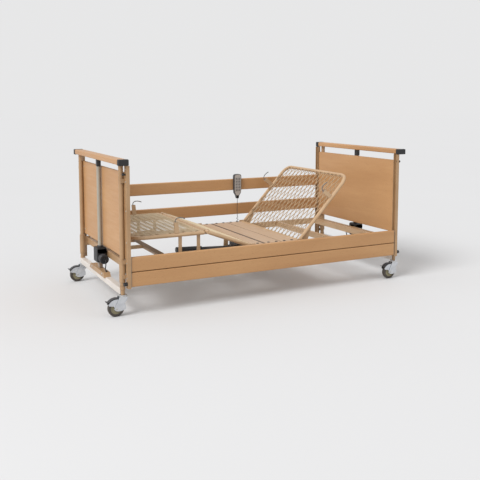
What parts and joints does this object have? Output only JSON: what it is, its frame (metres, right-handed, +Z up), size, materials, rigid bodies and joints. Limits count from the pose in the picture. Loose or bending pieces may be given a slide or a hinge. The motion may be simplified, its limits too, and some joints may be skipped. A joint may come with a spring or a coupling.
{
  "type": "adjustable hospital bed",
  "caption": "Care bed on four braked castors with wooden end boards and sliding side rails, end lifts, and a lying frame with raised back, thigh and calf rests.",
  "frame": {"origin": "middle of the bounding box, on the floor under the castors", "axes": "+X along the bed towards the head end, +Y towards the lying person's right side, +Z up"},
  "size_m": [2.203, 1.08, 0.95],
  "materials": {
    "beech_laminate": "beech-coloured laminate, satin",
    "beige_paint": "beige powder coat, satin",
    "wire_paint": "light beige coated wire",
    "slat_board": "pinkish beige coated boards, satin",
    "retainer_steel": "beige stem with a grey plastic-coated bow",
    "black_plastic": "fine grained black housing",
    "grey_plastic": "grey moulded plastic",
    "grey_steel": "grey anodised tube, satin",
    "chrome": "bright zinc and chrome",
    "tyre": "grey non-marking rubber on a beige hub",
    "cord": "dark grey cable jacket"
  },
  "bodies": {
    "head_base": {"base_frame_head": "beige_paint", "lift_actuator_head": "black_plastic"},
    "foot_base": {"base_frame_foot": "beige_paint", "lift_actuator_foot": "black_plastic"},
    "bed": {"lift_rod_head": "grey_steel", "head_board_frame": "beige_paint", "head_panel": "beech_laminate", "head_top_rail": "beech_laminate", "top_rail_cap_head_left": "black_plastic", "rail_channel_head_left": "beige_paint", "top_rail_cap_head_right": "black_plastic", "rail_channel_head_right": "beige_paint", "lift_rod_foot": "grey_steel", "foot_board_frame": "beige_paint", "foot_panel": "beech_laminate", "foot_top_rail": "beech_laminate", "top_rail_cap_foot_left": "black_plastic", "rail_channel_foot_left": "beige_paint", "top_rail_cap_foot_right": "black_plastic", "rail_channel_foot_right": "beige_paint", "lying_frame_head": "beige_paint", "lying_frame_foot": "beige_paint", "seat_slats": "slat_board", "drive_unit": "black_plastic", "handset_cord": "cord", "handset_cord_coil": "cord"},
    "backrest": {"backrest_frame": "beige_paint", "backrest_mesh": "wire_paint", "mattress_retainer_back_left": "retainer_steel", "mattress_retainer_back_right": "retainer_steel"},
    "thigh_rest": {"thigh_frame": "beige_paint", "thigh_mesh": "wire_paint"},
    "calf_rest": {"calf_frame": "beige_paint", "calf_mesh": "wire_paint", "mattress_retainer_calf_left": "retainer_steel", "mattress_retainer_calf_right": "retainer_steel"},
    "calf_stay": {"calf_stay": "grey_steel"},
    "back_rod": {"back_drive_rod": "grey_steel"},
    "leg_rod": {"leg_drive_rod": "grey_steel"},
    "rail_left_lower": {"side_rail_left_lower": "beech_laminate"},
    "rail_left_upper": {"side_rail_left_upper": "beech_laminate"},
    "rail_right_lower": {"side_rail_right_lower": "beech_laminate"},
    "rail_right_upper": {"side_rail_right_upper": "beech_laminate"},
    "handset": {"handset": "grey_plastic"},
    "release_head_left": {"rail_release_head_left": "beige_paint"},
    "castor_head_left_swivel": {"castor_head_left_fork": "chrome"},
    "castor_head_left_roll": {"castor_head_left_wheel": "tyre"},
    "castor_head_left_brake": {"castor_head_left_pedal": "grey_plastic"},
    "release_head_right": {"rail_release_head_right": "beige_paint"},
    "castor_head_right_swivel": {"castor_head_right_fork": "chrome"},
    "castor_head_right_roll": {"castor_head_right_wheel": "tyre"},
    "castor_head_right_brake": {"castor_head_right_pedal": "grey_plastic"},
    "release_foot_left": {"rail_release_foot_left": "beige_paint"},
    "castor_foot_left_swivel": {"castor_foot_left_fork": "chrome"},
    "castor_foot_left_roll": {"castor_foot_left_wheel": "tyre"},
    "castor_foot_left_brake": {"castor_foot_left_pedal": "grey_plastic"},
    "release_foot_right": {"rail_release_foot_right": "beige_paint"},
    "castor_foot_right_swivel": {"castor_foot_right_fork": "chrome"},
    "castor_foot_right_roll": {"castor_foot_right_wheel": "tyre"},
    "castor_foot_right_brake": {"castor_foot_right_pedal": "grey_plastic"}
  },
  "joints": [
    {"name": "lift_head", "type": "slide", "parent": "head_base", "child": "bed", "axis": [0, 0, 1], "range_m": [0, 0.4]},
    {"name": "lift_foot", "type": "slide", "parent": "bed", "child": "foot_base", "axis": [0, 0, -1], "range_m": [0, 0.4001]},
    {"name": "backrest_tilt", "type": "hinge", "parent": "bed", "child": "backrest", "pos_m": [0.2785, 0, 0.333], "axis": [0, -1, 0], "range_deg": [-47, 23]},
    {"name": "back_drive", "type": "slide", "parent": "bed", "child": "back_rod", "axis": [1, 0, 0], "range_m": [-0.06593, 0.03231]},
    {"name": "thigh_tilt", "type": "hinge", "parent": "bed", "child": "thigh_rest", "pos_m": [-0.0945, 0, 0.333], "axis": [0, 1, 0], "range_deg": [-21, 14]},
    {"name": "leg_drive", "type": "slide", "parent": "bed", "child": "leg_rod", "axis": [-1, 0, 0], "range_m": [-0.02951, 0.01971]},
    {"name": "calf_tilt", "type": "hinge", "parent": "thigh_rest", "child": "calf_rest", "pos_m": [-0.40258, 0, 0.45126], "axis": [0, 1, 0], "range_deg": [-14.05, 21.05]},
    {"name": "calf_stay_swing", "type": "hinge", "parent": "calf_rest", "child": "calf_stay", "pos_m": [-0.86658, 0, 0.42876], "axis": [0, 1, 0], "range_deg": [-36.3, 24.21]},
    {"name": "rail_left_upper_slide", "type": "slide", "parent": "bed", "child": "rail_left_upper", "axis": [0, 0, 1], "range_m": [0, 0.316]},
    {"name": "rail_left_lower_slide", "type": "slide", "parent": "bed", "child": "rail_left_lower", "axis": [0, 0, 1], "range_m": [0, 0.2121]},
    {"name": "rail_right_upper_slide", "type": "slide", "parent": "bed", "child": "rail_right_upper", "axis": [0, 0, 1], "range_m": [-0.316, 0], "deforming": ["handset_cord", "handset_cord_coil"]},
    {"name": "rail_right_lower_slide", "type": "slide", "parent": "bed", "child": "rail_right_lower", "axis": [0, 0, 1], "range_m": [-0.2121, 0]},
    {"name": "handset_lift_off", "type": "slide", "parent": "rail_right_upper", "child": "handset", "axis": [0, 0, 1], "range_m": [0, 0.06]},
    {"name": "release_head_left_push", "type": "slide", "parent": "bed", "child": "release_head_left", "axis": [-1, 0, 0], "range_m": [0, 0.005], "stiffness_N_per_m": 400, "springref_m": -0.002},
    {"name": "castor_head_left_swivel", "type": "hinge", "parent": "head_base", "child": "castor_head_left_swivel", "pos_m": [1.0655, -0.4725, 0.12], "axis": [0, 0, 1], "continuous": true},
    {"name": "castor_head_left_roll", "type": "hinge", "parent": "castor_head_left_swivel", "child": "castor_head_left_roll", "pos_m": [1.0205, -0.4725, 0.05], "axis": [0, 1, 0], "continuous": true},
    {"name": "castor_head_left_brake", "type": "hinge", "parent": "castor_head_left_swivel", "child": "castor_head_left_brake", "pos_m": [1.0325, -0.4725, 0.111], "axis": [0, -1, 0], "range_deg": [0, 8]},
    {"name": "release_head_right_push", "type": "slide", "parent": "bed", "child": "release_head_right", "axis": [-1, 0, 0], "range_m": [0, 0.005], "stiffness_N_per_m": 400, "springref_m": -0.002},
    {"name": "castor_head_right_swivel", "type": "hinge", "parent": "head_base", "child": "castor_head_right_swivel", "pos_m": [1.0655, 0.4725, 0.12], "axis": [0, 0, 1], "continuous": true},
    {"name": "castor_head_right_roll", "type": "hinge", "parent": "castor_head_right_swivel", "child": "castor_head_right_roll", "pos_m": [1.0205, 0.4725, 0.05], "axis": [0, 1, 0], "continuous": true},
    {"name": "castor_head_right_brake", "type": "hinge", "parent": "castor_head_right_swivel", "child": "castor_head_right_brake", "pos_m": [1.0325, 0.4725, 0.111], "axis": [0, -1, 0], "range_deg": [0, 8]},
    {"name": "release_foot_left_push", "type": "slide", "parent": "bed", "child": "release_foot_left", "axis": [1, 0, 0], "range_m": [0, 0.005], "stiffness_N_per_m": 400, "springref_m": -0.002},
    {"name": "castor_foot_left_swivel", "type": "hinge", "parent": "foot_base", "child": "castor_foot_left_swivel", "pos_m": [-0.9945, -0.4725, 0.12], "axis": [0, 0, 1], "continuous": true},
    {"name": "castor_foot_left_roll", "type": "hinge", "parent": "castor_foot_left_swivel", "child": "castor_foot_left_roll", "pos_m": [-1.0395, -0.4725, 0.05], "axis": [0, 1, 0], "continuous": true},
    {"name": "castor_foot_left_brake", "type": "hinge", "parent": "castor_foot_left_swivel", "child": "castor_foot_left_brake", "pos_m": [-1.0275, -0.4725, 0.111], "axis": [0, -1, 0], "range_deg": [0, 8]},
    {"name": "release_foot_right_push", "type": "slide", "parent": "bed", "child": "release_foot_right", "axis": [1, 0, 0], "range_m": [0, 0.005], "stiffness_N_per_m": 400, "springref_m": -0.002},
    {"name": "castor_foot_right_swivel", "type": "hinge", "parent": "foot_base", "child": "castor_foot_right_swivel", "pos_m": [-0.9945, 0.4725, 0.12], "axis": [0, 0, 1], "continuous": true},
    {"name": "castor_foot_right_roll", "type": "hinge", "parent": "castor_foot_right_swivel", "child": "castor_foot_right_roll", "pos_m": [-1.0395, 0.4725, 0.05], "axis": [0, 1, 0], "continuous": true},
    {"name": "castor_foot_right_brake", "type": "hinge", "parent": "castor_foot_right_swivel", "child": "castor_foot_right_brake", "pos_m": [-1.0275, 0.4725, 0.111], "axis": [0, -1, 0], "range_deg": [0, 8]}
  ],
  "couplings": [
    {"joint": "lift_foot", "follows": "lift_head", "ratio": 1},
    {"joint": "back_drive", "follows": "backrest_tilt", "m_per_rad": 0.08025},
    {"joint": "leg_drive", "follows": "thigh_tilt", "m_per_rad": 0.08025},
    {"joint": "calf_tilt", "follows": "thigh_tilt", "ratio": -1},
    {"joint": "calf_stay_swing", "follows": "thigh_tilt", "ratio": 1.726},
    {"joint": "rail_left_lower_slide", "follows": "rail_left_upper_slide", "ratio": 0.67089},
    {"joint": "rail_right_lower_slide", "follows": "rail_right_upper_slide", "ratio": 0.67089}
  ]
}
